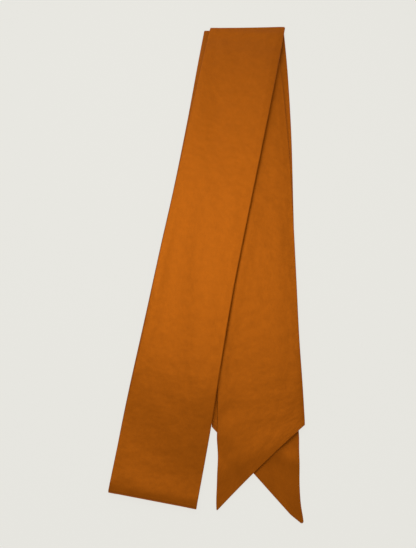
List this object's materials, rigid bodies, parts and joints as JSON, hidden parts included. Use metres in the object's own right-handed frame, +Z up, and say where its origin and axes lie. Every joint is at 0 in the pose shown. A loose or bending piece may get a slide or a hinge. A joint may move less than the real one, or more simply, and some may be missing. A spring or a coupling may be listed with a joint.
{
  "type": "wild rag",
  "caption": "Skinny satin wild rag, a long narrow scarf with slant-cut pointed ends, folded flat with its arms fanned apart and its tails crossing.",
  "frame": {"origin": "under the middle of the folded scarf's bounding box, on the surface that it lies on", "axes": "+Z up off the surface; +Y along the folded scarf, from the pointed tails to the top folds; +X to the right when it is seen from above with the folds at the far end"},
  "size_m": [0.1559, 0.454, 0.0049],
  "materials": {
    "copper_satin": "smooth satin with a soft broad sheen, pressed edges and no visible stitching"
  },
  "bodies": {
    "root": {"tail_under": "copper_satin", "tail_over": "copper_satin", "arm_under": "copper_satin", "arm_over": "copper_satin"}
  },
  "joints": []
}
